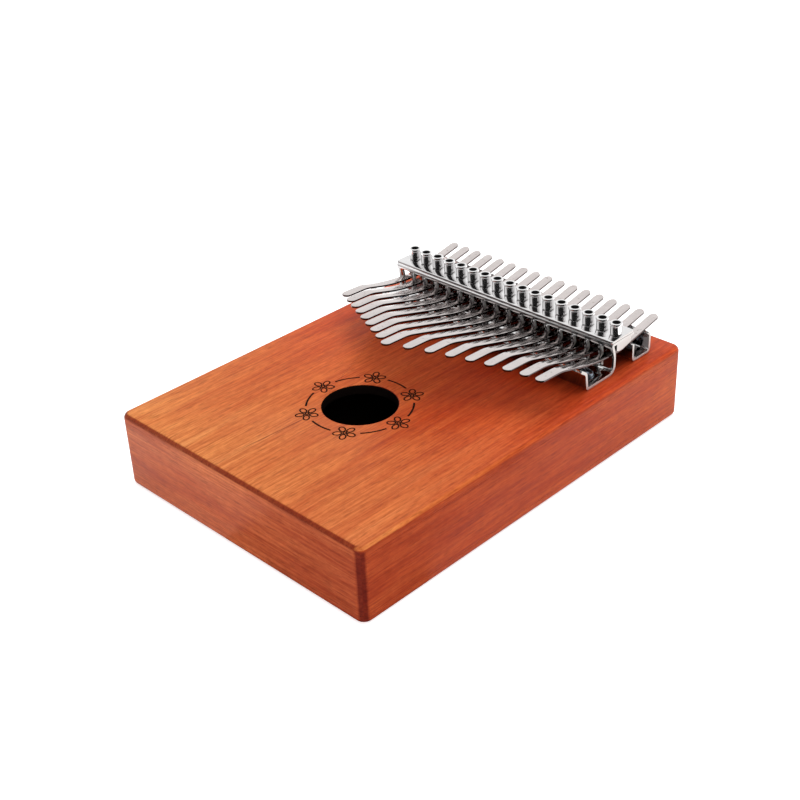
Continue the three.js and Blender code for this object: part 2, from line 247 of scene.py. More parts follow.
# ---------------------------------------------------------------------------------------------------
# Materials
# ---------------------------------------------------------------------------------------------------

class Nodes:
    """A small helper for building a node material."""

    def __init__(self, name):
        self.material = bpy.data.materials.new(name)
        self.material.use_nodes = True
        self.tree = self.material.node_tree
        self.shader = self.tree.nodes["Principled BSDF"]
        self.place = self.tree.nodes.new("ShaderNodeTexCoord").outputs["Object"]

    def new(self, kind, **settings):
        node = self.tree.nodes.new(kind)
        for key, value in settings.items():
            setattr(node, key, value)
        return node

    def link(self, source, target):
        self.tree.links.new(source, target)

    def stretched(self, scale, offset=(0, 0, 0)):
        mapping = self.new("ShaderNodeMapping")
        mapping.inputs["Scale"].default_value = scale
        mapping.inputs["Location"].default_value = offset
        self.link(self.place, mapping.inputs["Vector"])
        return mapping.outputs["Vector"]

    def noise(self, vector, detail=4, roughness=0.55, distortion=0, scale=1):
        node = self.new("ShaderNodeTexNoise")
        node.inputs["Scale"].default_value = scale
        node.inputs["Detail"].default_value = detail
        node.inputs["Roughness"].default_value = roughness
        node.inputs["Distortion"].default_value = distortion
        self.link(vector, node.inputs["Vector"])
        return node.outputs["Fac"]

    def ramp(self, factor, stops, interpolation="LINEAR"):
        node = self.new("ShaderNodeValToRGB")
        node.color_ramp.interpolation = interpolation
        elements = node.color_ramp.elements
        while len(elements) < len(stops):
            elements.new(0.5)
        for element, (position, colour) in zip(elements, stops):
            element.position = position
            element.color = (*colour, 1) if len(colour) == 3 else colour
        self.link(factor, node.inputs["Fac"])
        return node.outputs["Color"]

    def mix(self, blend, factor, first, second):
        node = self.new("ShaderNodeMix", data_type="RGBA", blend_type=blend)
        for value, socket in ((factor, node.inputs[0]), (first, node.inputs[6]), (second, node.inputs[7])):
            if isinstance(value, bpy.types.NodeSocket):
                self.link(value, socket)
            elif isinstance(value, (int, float)):
                socket.default_value = value
            else:
                socket.default_value = (*value, 1)
        return node.outputs[2]

    def span(self, value, low, high, to_low, to_high):
        node = self.new("ShaderNodeMapRange")
        for key, number in (("From Min", low), ("From Max", high), ("To Min", to_low), ("To Max", to_high)):
            node.inputs[key].default_value = number
        self.link(value, node.inputs["Value"])
        return node.outputs["Result"]

    def calculate(self, operation, first, second):
        node = self.new("ShaderNodeMath", operation=operation)
        for value, socket in ((first, node.inputs[0]), (second, node.inputs[1])):
            if isinstance(value, bpy.types.NodeSocket):
                self.link(value, socket)
            else:
                socket.default_value = value
        return node.outputs["Value"]

    def parts(self, vector):
        node = self.new("ShaderNodeSeparateXYZ")
        self.link(vector, node.inputs["Vector"])
        return node.outputs["X"], node.outputs["Y"], node.outputs["Z"]

    def joined(self, x, y, z):
        node = self.new("ShaderNodeCombineXYZ")
        for value, key in ((x, "X"), (y, "Y"), (z, "Z")):
            self.link(value, node.inputs[key])
        return node.outputs["Vector"]

    def normal(self):
        return self.new("ShaderNodeNewGeometry").outputs["Normal"]

    def steepness(self):
        """How far the surface faces along X, Y and Z, whichever way."""
        node = self.new("ShaderNodeVectorMath", operation="ABSOLUTE")
        self.link(self.normal(), node.inputs[0])
        return self.parts(node.outputs["Vector"])

    def bump(self, height, strength, distance, under=None):
        node = self.new("ShaderNodeBump")
        node.inputs["Strength"].default_value = strength
        node.inputs["Distance"].default_value = distance
        self.link(height, node.inputs["Height"])
        if under is not None:
            self.link(under, node.inputs["Normal"])
        return node.outputs["Normal"]

    def set(self, **values):
        for key, value in values.items():
            socket = self.shader.inputs[key.replace("_", " ")]
            if isinstance(value, bpy.types.NodeSocket):
                self.link(value, socket)
            else:
                socket.default_value = value
        return self.material


def mahogany(name, light, middle, dark, tint, gloss=0.36):
    """Lacquered straight-grained mahogany; tint is the function that colours it over the box, with painted
    shade on the top and painted sheen on the walls.
    """
    n = Nodes(name)
    shade = tint(n)
    bands = n.noise(n.stretched((60, 3.5, 60)), detail=5, roughness=0.55, distortion=0.6)
    body = n.ramp(bands, ((0.32, dark), (0.47, middle), (0.56, middle), (0.70, light)))
    clouds = n.noise(n.stretched((110, 16, 110), (3, 1, 2)), detail=3, roughness=0.6)
    cloud_tint = n.ramp(clouds, ((0.36, (0.84, 0.62, 0.56)), (0.60, (1.05, 1.10, 1.08))))
    body = n.mix("MULTIPLY", 0.75, body, cloud_tint)
    fibres = n.noise(n.stretched((1100, 36, 1100)), detail=4, roughness=0.65)
    fibre_tint = n.ramp(fibres, ((0.34, (0.76, 0.60, 0.52)), (0.64, (1.12, 1.18, 1.18))))
    body = n.mix("MULTIPLY", 0.95, body, fibre_tint)
    mottle = n.noise(n.stretched((520, 240, 520), (5, 2, 8)), detail=3, roughness=0.7)
    mottle_tint = n.ramp(mottle, ((0.35, (0.88, 0.80, 0.76)), (0.65, (1.09, 1.12, 1.13))))
    body = n.mix("MULTIPLY", 0.7, body, mottle_tint)
    pores = n.noise(n.stretched((1700, 170, 1700), (7, 5, 1)), detail=2, roughness=0.5)
    pore_mask = n.ramp(pores, ((0.55, (0, 0, 0)), (0.70, (0.42, 0.42, 0.42))))
    body = n.mix("MIX", pore_mask, body, tuple(0.40 * c for c in dark))
    # the tint brings painted shade on the top wood and painted sheen on the walls
    body = n.mix("MULTIPLY", 1.0, body, shade)
    darker_edges, painted_edge_highlight = edges(n)
    # rounded edges darker, except the +X top edge
    body = n.mix("MULTIPLY", darker_edges, body, (0.42, 0.22, 0.23))
    # painted highlight along the +X top edge
    body = n.mix("MULTIPLY", painted_edge_highlight, body, (1.15, 1.30, 1.25))
    body = n.mix("MULTIPLY", knots(n), body, (0.30, 0.22, 0.2))
    body = n.mix("MULTIPLY", dark_streak(n), body, (0.42, 0.30, 0.28))
    # painted shade on the wood between the two channels, under the bridge
    body = n.mix("MULTIPLY", painted_shade_behind_bridge(n), body, (0.28, 0.20, 0.22))
    grain_bump = n.bump(fibres, 0.14, 0.05 * MM)
    relief = n.bump(n.span(pores, 0.60, 0.75, 1, 0), 0.22, 0.05 * MM, grain_bump)
    return n.set(
        Base_Color=body,
        Roughness=n.span(fibres, 0.3, 0.7, gloss - 0.05, gloss + 0.10),
        Specular_IOR_Level=0.10,
        Normal=relief,
    )


def along_box(n):
    """0 at the playing end of the box and 1 at its other end."""
    return n.span(n.parts(n.place)[1], BOARD_LOW.y, BOARD_HIGH.y, 0, 1)


def across_box(n):
    """0 on the -X side of the box and 1 on its +X side."""
    return n.span(n.parts(n.place)[0], BOARD_LOW.x, BOARD_HIGH.x, 0, 1)


def redder_backwards_with_painted_shade(n):
    """Orange at the playing end and the -X side, deepening to red-brown at the bridge end; between the
    sound hole and the bridge the red-brown is partly painted shade of the tongues.
    """
    # the darker, redder stops between the sound hole and the bridge are partly painted shade of the tongues
    along = n.ramp(along_box(n), (
        (0.0, (1.05, 1.12, 1.32)), (0.10, (1.00, 0.98, 1.06)), (0.35, (0.90, 0.66, 0.66)),
        (0.50, (0.90, 0.54, 0.53)), (0.65, (0.87, 0.42, 0.42)), (1.0, (0.85, 0.43, 0.48))))
    across = n.ramp(across_box(n), (
        (0.0, (1.12, 1.26, 1.28)), (0.5, (1.0, 1.0, 1.0)), (1.0, (0.95, 0.82, 0.86))))
    return n.mix("MULTIPLY", 1.0, along, across)


def wall_tints_and_painted_sheen(n):
    """Turns the grain along each wall. The tints are painted sheen: the end walls are browner and paler,
    palest on the -X side, and the long sides lighten towards the far end.
    """
    end_wall = n.calculate("GREATER_THAN", n.steepness()[1], 0.7)
    x, y, z = n.parts(n.place)
    # painted sheen: the long sides lighten towards the far end
    side_painted_sheen = n.ramp(along_box(n), (
        (0.1, (1.0, 1.0, 1.05)), (0.5, (0.97, 0.90, 0.80)), (1.0, (1.10, 1.20, 1.10))))
    # painted sheen: the end walls paler and browner, most on the -X side
    end_painted_sheen = n.ramp(across_box(n), (
        (0.05, (1.16, 1.75, 3.1)), (0.5, (1.18, 1.60, 2.3)), (0.95, (1.05, 1.25, 1.9))))
    turn = n.new("ShaderNodeMix", data_type="VECTOR")
    n.link(end_wall, turn.inputs[0])
    n.link(n.place, turn.inputs[4])
    n.link(n.joined(y, x, z), turn.inputs[5])
    n.place = turn.outputs[1]
    return n.mix("MIX", end_wall, side_painted_sheen, end_painted_sheen)


def edges(n):
    """Masks of the rounded edges: darker on all but the +X top edge, and a painted highlight along that +X
    top edge.
    """
    x, y, z = n.steepness()
    largest = n.calculate("MAXIMUM", n.calculate("MAXIMUM", x, y), z)
    edge = n.span(largest, 0.985, 0.90, 0, 1)
    towards_x, _, upwards = n.parts(n.normal())
    top_edge = n.calculate("MULTIPLY", towards_x, upwards)
    spared_top_edge = n.span(top_edge, 0.08, 0.25, 0, 1)
    darker_edges = n.calculate("MULTIPLY", edge, n.calculate("SUBTRACT", 1, spared_top_edge))
    # the second mask is the painted highlight along the +X top edge
    return darker_edges, n.span(top_edge, 0.36, 0.47, 0, 1)


def knots(n):
    """A few pin knots, one in about eight cells of a coarse cell pattern."""
    cells = n.new("ShaderNodeTexVoronoi")
    cells.inputs["Scale"].default_value = 55
    n.link(n.place, cells.inputs["Vector"])
    dot = n.span(cells.outputs["Distance"], 0.018, 0.034, 1, 0)
    chance = n.parts(cells.outputs["Color"])[0]
    return n.calculate("MULTIPLY", dot, n.calculate("GREATER_THAN", chance, 0.87))


def dark_streak(n):
    """One long dark grain line in front of the sound hole, a little off the grain's direction."""
    middle, reach, drift = Vector((-9.6, -63, 0)) * MM, 17 * MM, 0.06
    x, y, _ = n.parts(n.place)
    past = n.calculate("SUBTRACT", y, middle.y)
    line = n.calculate("ADD", middle.x, n.calculate("MULTIPLY", past, drift))
    away = n.calculate("ABSOLUTE", n.calculate("SUBTRACT", x, line), 0)
    on_line = n.span(away, 0.10 * MM, 0.32 * MM, 1, 0)
    fading = n.span(n.calculate("ABSOLUTE", past, 0), 0.7 * reach, reach, 1, 0)
    return n.calculate("MULTIPLY", on_line, fading)


def painted_shade_behind_bridge(n):
    """Painted shade on the wood in the gap between the two channels, under the bridge."""
    x, y, _ = n.parts(n.place)
    start = BRIDGE_LOW.y + 18 * MM
    end = BRIDGE_HIGH.x - 1 * MM
    ahead = n.span(y, start, start + 2 * MM, 0, 1)
    behind = n.span(y, REAR_LOW.y, REAR_LOW.y + 3 * MM, 1, 0)
    beside = n.span(n.calculate("ABSOLUTE", x, 0), end - 4 * MM, end, 1, 0)
    return n.calculate("MULTIPLY", beside, n.calculate("MULTIPLY", ahead, behind))


def raw_wood(name, colour):
    """The inner faces of the chamber; the near-black colour given to them is painted shade."""
    n = Nodes(name)
    fibres = n.noise(n.stretched((260, 12, 260)), detail=4)
    body = n.ramp(fibres, ((0.3, tuple(0.55 * c for c in colour)), (0.7, colour)))
    relief = n.bump(fibres, 0.3, 0.1 * MM)
    return n.set(Base_Color=body, Roughness=0.9, Specular_IOR_Level=0.0, Normal=relief)


def polished(name, colour, low=0.04, high=0.10):
    """Bright plated sheet; faces that look along -Y get a painted dark reflection and shade, and the
    sheared side faces are matt.
    """
    n = Nodes(name)
    haze = n.noise(n.stretched((180, 180, 180)), detail=4)
    tint = n.ramp(haze, ((0.25, tuple(0.93 * c for c in colour)), (0.75, colour)))
    # painted dark reflection and shade on faces that look along -Y
    painted_dark_front = n.span(n.parts(n.normal())[1], -0.985, -0.90, 1, 0)
    tint = n.mix("MULTIPLY", painted_dark_front, tint, (0.22, 0.20, 0.20))
    ripple = n.noise(n.stretched((420, 420, 420), (2, 4, 1)), detail=3)
    sheared = n.span(n.steepness()[0], 0.70, 0.93, 0, 1)
    smear = n.span(haze, 0.3, 0.75, low, high)
    return n.set(
        Base_Color=n.mix("MIX", sheared, tint, (0.72, 0.69, 0.665)),
        Metallic=n.span(sheared, 0, 1, 1.0, 0.35),
        Roughness=n.calculate("ADD", smear, n.calculate("MULTIPLY", sheared, 0.45)),
        Normal=n.bump(ripple, 0.025, 0.05 * MM),
    )


def turned_chrome(name, colour, low=0.03, high=0.08):
    """Bright plated turned metal with fine rings from the tool."""
    n = Nodes(name)
    haze = n.noise(n.stretched((240, 240, 240)), detail=4)
    tint = n.ramp(haze, ((0.25, tuple(0.94 * c for c in colour)), (0.75, colour)))
    rings = n.noise(n.stretched((60, 60, 5200), (1, 3, 2)), detail=2)
    return n.set(
        Base_Color=tint,
        Metallic=1.0,
        Roughness=n.span(haze, 0.3, 0.75, low, high),
        Normal=n.bump(rings, 0.02, 0.03 * MM),
    )


def ground_steel(name, colour):
    """Bright spring steel with fine lengthwise grinding lines, small stains and painted shade on the cut
    edges.
    """
    n = Nodes(name)
    lines = n.noise(n.stretched((9000, 90, 9000)), detail=3, roughness=0.7)
    haze = n.noise(n.stretched((220, 110, 220), (1, 6, 3)), detail=4)
    stains = n.noise(n.stretched((520, 420, 520), (4, 2, 7)), detail=5, roughness=0.7)
    base = n.ramp(haze, ((0.3, tuple(0.88 * c for c in colour)), (0.7, colour)))
    line_tint = n.ramp(lines, ((0.3, (0.86, 0.86, 0.86)), (0.7, (1.04, 1.04, 1.04))))
    tint = n.mix("MULTIPLY", 0.4, base, line_tint)
    stain_tint = n.ramp(stains, ((0.30, (0.40, 0.35, 0.32)), (0.40, (1.0, 1.0, 1.0))))
    tint = n.mix("MULTIPLY", 0.6, tint, stain_tint)
    # painted shade on the cut edges of the strips
    painted_shade_edge = n.span(n.steepness()[2], 0.45, 0.75, 1, 0)
    tint = n.mix("MULTIPLY", painted_shade_edge, tint, (0.16, 0.13, 0.13))
    return n.set(
        Base_Color=tint,
        Metallic=1.0,
        Roughness=n.span(haze, 0.3, 0.7, 0.09, 0.17),
        Normal=n.bump(lines, 0.04, 0.015 * MM, n.bump(stains, 0.03, 0.06 * MM)),
    )


def blackened(name):
    """Oil-blackened steel inside the barrels."""
    n = Nodes(name)
    mottle = n.noise(n.stretched((700, 700, 700)), detail=4)
    tint = n.ramp(mottle, ((0.3, (0.02, 0.02, 0.022)), (0.7, (0.05, 0.048, 0.046))))
    return n.set(
        Base_Color=tint,
        Metallic=0.6,
        Roughness=n.span(mottle, 0.3, 0.7, 0.45, 0.6),
        Normal=n.bump(mottle, 0.2, 0.03 * MM),
    )


def burnt_line(name):
    """The dark burnt-in drawing."""
    n = Nodes(name)
    char = n.noise(n.stretched((900, 900, 900)), detail=4)
    body = n.ramp(char, ((0.3, (0.006, 0.004, 0.003)), (0.7, (0.020, 0.009, 0.006))))
    relief = n.bump(char, 0.3, 0.02 * MM)
    return n.set(Base_Color=body, Roughness=0.9, Specular_IOR_Level=0.03, Normal=relief)


def pale_floor(name):
    """White sweep that glows a little, so that only a faint shadow is left on it."""
    n = Nodes(name)
    drift = n.noise(n.stretched((3, 3, 3)), detail=2)
    body = n.ramp(drift, ((0.3, (0.90, 0.90, 0.90)), (0.7, (0.92, 0.92, 0.92))))
    return n.set(Base_Color=body, Roughness=0.9, Emission_Color=(1, 1, 1, 1), Emission_Strength=0.7)


def black_card(name):
    n = Nodes(name)
    felt = n.noise(n.stretched((40, 40, 40)), detail=2)
    body = n.ramp(felt, ((0.3, (0.010, 0.010, 0.010)), (0.7, (0.014, 0.014, 0.014))))
    return n.set(Base_Color=body, Roughness=0.95, Specular_IOR_Level=0.0)


TOP_WOOD = mahogany(
    "top_wood", (0.66, 0.240, 0.068), (0.585, 0.170, 0.041), (0.49, 0.100, 0.021), redder_backwards_with_painted_shade)
SIDE_WOOD = mahogany(
    "side_wood", (0.475, 0.086, 0.019), (0.425, 0.064, 0.0125), (0.350, 0.042, 0.0075), wall_tints_and_painted_sheen,
    gloss=0.42)
# near-black: painted shade inside the chamber and the sound hole
INNER_WOOD_PAINTED_SHADE = raw_wood("inner_wood_painted_shade", (0.010, 0.006, 0.005))
CHROME = polished("chrome", (0.78, 0.77, 0.77))
BARREL_CHROME = turned_chrome("barrel_chrome", (0.84, 0.83, 0.83))
DARK_BORE = blackened("dark_bore")
SPRING_STEEL = ground_steel("spring_steel", (0.69, 0.635, 0.62))
SCREW_STEEL = turned_chrome("screw_steel", (0.34, 0.39, 0.46), 0.16, 0.26)
ENGRAVING = burnt_line("engraving")


def dress(obj, material, slot, *nodes):
    """Gives a root piece its material, hangs it under the root body and hides the CAD nodes it stands for;
    the slot argument is not used.
    """
    obj.data.materials.clear()
    obj.data.materials.append(material)
    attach(obj, ROOT)
    if nodes:
        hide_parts(*nodes)
    return obj


# ---------------------------------------------------------------------------------------------------
# Wooden box
# ---------------------------------------------------------------------------------------------------

def paint_inside(obj, inside):
    """Gives the faces whose centre passes the test the inner material, near-black as painted shade."""
    obj.data.materials.append(INNER_WOOD_PAINTED_SHADE)
    for polygon in obj.data.polygons:
        if inside(polygon):
            polygon.material_index = 1


def soundboard():
    count = len(box_ring(0, 0))
    rim = 0.5 * MM
    bottom = BOARD_LOW.z
    rings = [box_ring(0, bottom)]
    rings += [box_ring(inset, BOX_TOP - drop) for inset, drop in quarter()]
    for step in range(5):
        angle = math.pi / 2 * step / 4
        radius = SOUND_HOLE_RADIUS + rim * (1 - math.sin(angle))
        rings.append(circle_ring(radius, BOX_TOP - rim * (1 - math.cos(angle)), count))
    rings.append(circle_ring(SOUND_HOLE_RADIUS, bottom, count))
    board = smooth(loft("soundboard_wood", rings, closed=True))
    dress(board, TOP_WOOD, "top_wood", "soundboard")
    hole_reach = SOUND_HOLE_RADIUS + 0.1 * MM

    def in_hole(face):
        return (face.center.xy - SOUND_HOLE).length < hole_reach and abs(face.normal.z) < 0.9

    paint_inside(board, lambda face: face.normal.z < -0.9 or in_hole(face))
    board.data.materials.append(SIDE_WOOD)
    for face in board.data.polygons:
        if abs(face.normal.z) < 0.45 and not in_hole(face):
            face.material_index = 2


def body_frame():
    front = FRAME_LOW.y + SIDE_WALL
    size = (BOX_WIDTH - 2 * SIDE_WALL, CHAMBER_REAR - front, CHAMBER_CORNER)
    centre = (0, (front + CHAMBER_REAR) / 2)
    rings = [
        box_ring(0, FRAME_LOW.z),
        box_ring(0, FRAME_HIGH.z),
        rounded_ring(*size, FRAME_HIGH.z, centre),
        rounded_ring(*size, FRAME_LOW.z, centre),
    ]
    body = smooth(loft("body_frame_wood", rings, closed=True))
    dress(body, SIDE_WOOD, "side_wood", "body_frame")
    edge = BOX_WIDTH / 2 - SIDE_WALL / 2
    rear = CHAMBER_REAR + MM
    paint_inside(body, lambda face: abs(face.center.x) < edge and front - MM < face.center.y < rear)


def back_plate():
    rings = [box_ring(inset, drop) for inset, drop in quarter()]
    rings = list(reversed(rings)) + [box_ring(0, BACK_HIGH.z)]
    plate = smooth(loft("back_plate_wood", rings))
    dress(plate, SIDE_WOOD, "side_wood", "back_plate")
    paint_inside(plate, lambda face: face.normal.z > 0.9)


# ---------------------------------------------------------------------------------------------------
# Burnt-in drawing round the sound hole
# ---------------------------------------------------------------------------------------------------

LINE_WIDTH = 0.80 * MM
FLOWER_LINE = 0.60 * MM
LINE_PROUD = 0.02 * MM
LINE_DEPTH = 0.08 * MM
RING_RADIUS = SOUND_HOLE_RADIUS + 6 * MM
FLOWER_REACH = 4.6 * MM


def ribbon(points, width=LINE_WIDTH, loop=False):
    """A thin flat line through 2-D points on the soundboard."""
    points = [Vector(p) for p in points]
    rings = []
    for i, point in enumerate(points):
        before = points[i - 1] if loop or i else point
        after = points[(i + 1) % len(points)] if loop or i + 1 < len(points) else point
        along = (after - before).normalized()
        across = Vector((-along.y, along.x)) * width / 2
        left, right = point + across, point - across
        top, bottom = BOX_TOP + LINE_PROUD, BOX_TOP - LINE_DEPTH
        rings.append([(*left, bottom), (*left, top), (*right, top), (*right, bottom)])
    return loft("line", rings, closed=loop)


def arc(radius, start, end, steps=24):
    angles = [math.radians(start + (end - start) * k / steps) for k in range(steps + 1)]
    return [SOUND_HOLE + Vector((math.cos(a), math.sin(a))) * radius for a in angles]


def oval(centre, out, length, breadth, degrees, steps=32):
    """An oval outline whose middle lies a distance out from a centre, in the given direction."""
    turn = Matrix.Rotation(math.radians(degrees), 2)
    angles = [2 * math.pi * k / steps for k in range(steps)]
    return [
        centre + turn @ Vector((out + length / 2 * math.cos(a), breadth / 2 * math.sin(a)))
        for a in angles
    ]


def flower(degrees):
    """A plain flower on the ring: five oval petals, one pointing outwards, round a small eye."""
    centre = arc(RING_RADIUS, degrees, degrees, 1)[0]
    eye, petals = 1.3 * MM, 5
    out, length, breadth = (part * FLOWER_REACH for part in (0.62, 0.72, 0.50))
    lines = [ribbon(oval(centre, 0, eye, eye, 0), FLOWER_LINE, loop=True)]
    for k in range(petals):
        petal = oval(centre, out, length, breadth, degrees + 360 / petals * k)
        lines.append(ribbon(petal, FLOWER_LINE, loop=True))
    return lines


def drawing():
    """Six equal flowers spaced evenly round the sound hole, with an arc of the ring between each two."""
    count, gap = 6, 16
    lines = []
    for k in range(count):
        here = 360 * k / count
        lines += flower(here)
        lines.append(ribbon(arc(RING_RADIUS, here + gap, here + 360 / count - gap)))
    dress(join(lines, "burnt_drawing"), ENGRAVING, "top_wood")


# ---------------------------------------------------------------------------------------------------
# Bent sheet pieces
# ---------------------------------------------------------------------------------------------------

def curve(start, control, end, steps):
    """Points along a quadratic curve."""
    for k in range(steps + 1):
        t = k / steps
        yield start * (1 - t) ** 2 + control * 2 * t * (1 - t) + end * t * t


def fold_path(corners, steps=8):
    """Points through (y, z, setback) corners, each rounded over its setback."""
    spots = [Vector((y, z)) for y, z, _ in corners]
    points = []
    for i, (_, _, setback) in enumerate(corners):
        if setback == 0:
            points.append(spots[i])
            continue
        start = spots[i] + (spots[i - 1] - spots[i]).normalized() * setback
        end = spots[i] + (spots[i + 1] - spots[i]).normalized() * setback
        points += curve(start, spots[i], end, steps)
    return points


class Fold:
    """Maps a flat sheet, (x, along, through), onto a folded path in the YZ plane."""

    def __init__(self, corners):
        self.points = fold_path(corners)
        self.runs = [0.0]
        for a, b in zip(self.points, self.points[1:]):
            self.runs.append(self.runs[-1] + (b - a).length)
        self.normals = []
        for i, point in enumerate(self.points):
            into = (point - self.points[i - 1]).normalized() if i else None
            out = (self.points[i + 1] - point).normalized() if i + 1 < len(self.points) else None
            along = ((into or out) + (out or into)).normalized()
            stretch = 1 / max(along.dot(into or out), 0.5)
            self.normals.append(Vector((-along.y, along.x)) * stretch)

    def run_at(self, axis, value, after=0.0):
        """The run where the path first crosses a y (axis 0) or z (axis 1) value, past a given run."""
        for i in range(len(self.points) - 1):
            a, b = self.points[i][axis], self.points[i + 1][axis]
            if self.runs[i + 1] > after and (a - value) * (b - value) <= 0 and a != b:
                return self.runs[i] + (value - a) / (b - a) * (self.runs[i + 1] - self.runs[i])
        raise ValueError("the path doesn't cross that value")

    def place(self, x, run, through):
        i = min(max(int(np.searchsorted(self.runs, run)) - 1, 0), len(self.runs) - 2)
        t = (run - self.runs[i]) / (self.runs[i + 1] - self.runs[i])
        t = min(max(t, 0), 1)
        point = self.points[i].lerp(self.points[i + 1], t)
        normal = self.normals[i].lerp(self.normals[i + 1], t)
        return x, point.x + normal.x * through, point.y + normal.y * through


def folded_sheet(name, corners, low_x, high_x, cutouts):
    """A sheet cut flat, eased along its edges and then folded."""
    fold = Fold(corners)
    half = SHEET / 2
    rings = [
        [(low_x, run, -half), (low_x, run, half), (high_x, run, half), (high_x, run, -half)]
        for run in fold.runs
    ]
    sheet = loft(name, rings)
    tools = cutouts(fold)
    if tools:
        carve(sheet, tools)
    ease_edges(sheet, SHEET_EASE)
    for vertex in sheet.data.vertices:
        vertex.co = fold.place(*vertex.co)
    sheet.data.update()
    return smooth(sheet, 30)


def slot_cutter(x, low, high):
    ring = rounded_ring(WALL_SLOT_WIDTH, high - low, WALL_SLOT_CORNER, 0, (x, (low + high) / 2), steps=6)
    return loft("slot", [[(px, py, z) for px, py, _ in ring] for z in (-2 * MM, 2 * MM)])


def bridge_channel():
    lip_bend, lip_foot = (37.2 * MM, 40.2 * MM), 38 * MM
    wall_foot, wall_bend, wall_head = 55.2 * MM, (55.4 * MM, 40.6 * MM), 53.7 * MM
    corners = [
        (LIP_Y, LIP_TOP - SHEET / 2 + 0.1 * MM, 0),
        (*lip_bend, 1.2 * MM),
        (lip_foot, BASE_Z, 0.9 * MM),
        (wall_foot, BASE_Z, 3.4 * MM),
        (*wall_bend, 2.4 * MM),
        (wall_head, FLANGE_Z, 0.9 * MM),
        (BRIDGE_HIGH.y, FLANGE_Z, 0),
    ]

    def cutouts(fold):
        wall = fold.run_at(0, 50 * MM)
        low = fold.run_at(1, WALL_SLOT_LOW, wall)
        high = fold.run_at(1, WALL_SLOT_HIGH, low)
        hole = fold.run_at(0, NOSE_Y, high)
        screw = fold.run_at(0, SCREW_Y)
        tools = []
        for number in TINES:
            tools.append(slot_cutter(tine_x(number), low, high))
            tools.append(rod("hole", tine_x(number), hole, -2 * MM, 2 * MM, BARREL_HOLE_RADIUS))
        for side in ("left", "right"):
            x = sum(c.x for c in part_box(f"bridge_screw_{side}")) / 2
            tools.append(rod("hole", x, screw, -2 * MM, 2 * MM, SCREW_HOLE_RADIUS))
        return tools

    channel = folded_sheet("bridge_channel_sheet", corners, BRIDGE_LOW.x, BRIDGE_HIGH.x, cutouts)
    dress(channel, CHROME, "chrome", "bridge_channel")


def rear_channel():
    front = REAR_LOW.y + SHEET / 2
    rear = REAR_HIGH.y - SHEET / 2
    fold_y = rear - 1.4 * MM
    seat = lambda y: tine_height(y) - TINE_THICKNESS / 2 - 0.35 * MM
    corners = [
        (front, seat(front) - 0.1 * MM, 0),
        (front, BASE_Z, 1.6 * MM),
        (rear, BASE_Z, 1.6 * MM),
        (rear, seat(fold_y) - 1.8 * MM, 0.6 * MM),
        (fold_y, seat(fold_y) - 0.5 * MM, 0),
    ]
    channel = folded_sheet("rear_channel_sheet", corners, REAR_LOW.x, REAR_HIGH.x, lambda fold: [])
    dress(channel, CHROME, "chrome", "rear_channel")


def top_plate():
    size = PLATE_HIGH - PLATE_LOW
    centre = (PLATE_HIGH + PLATE_LOW) / 2
    corner = 0.8 * MM
    low, high = PLATE_LOW.z, PLATE_HIGH.z
    rings = [rounded_ring(size.x, size.y, corner, z, (centre.x, centre.y), 6) for z in (low, high)]
    plate = loft("top_plate_sheet", rings)
    tools = [rod("hole", tine_x(n), NOSE_Y, low - MM, high + MM, BARREL_HOLE_RADIUS) for n in TINES]
    ease_edges(carve(plate, tools), SHEET_EASE)
    dress(smooth(plate, 30), CHROME, "chrome", "top_plate")


def clamp_bar():
    low, high = BAR_LOW.z, BAR_HIGH.z
    nose_front, nose_rear = 58.6 * MM, 61 * MM
    front_rise, rear_rise = 0.7 * MM, 1.4 * MM
    section = [
        (BAR_LOW.y, high),
        (BAR_LOW.y, low + front_rise),
        (nose_front, low),
        (nose_rear, low),
        (BAR_HIGH.y, low + rear_rise),
        (BAR_HIGH.y, high),
    ]
    bar = loft("clamp_bar_solid", [[(x, y, z) for y, z in section] for x in (BAR_LOW.x, BAR_HIGH.x)])
    tools = [rod("hole", tine_x(n), NOSE_Y, low - MM, high + MM, BARREL_HOLE_RADIUS) for n in TINES]
    ease_edges(carve(bar, tools), 0.25 * MM)
    dress(smooth(bar, 30), CHROME, "chrome", "clamp_bar")


# ---------------------------------------------------------------------------------------------------
# Clamp barrels and screws
# ---------------------------------------------------------------------------------------------------

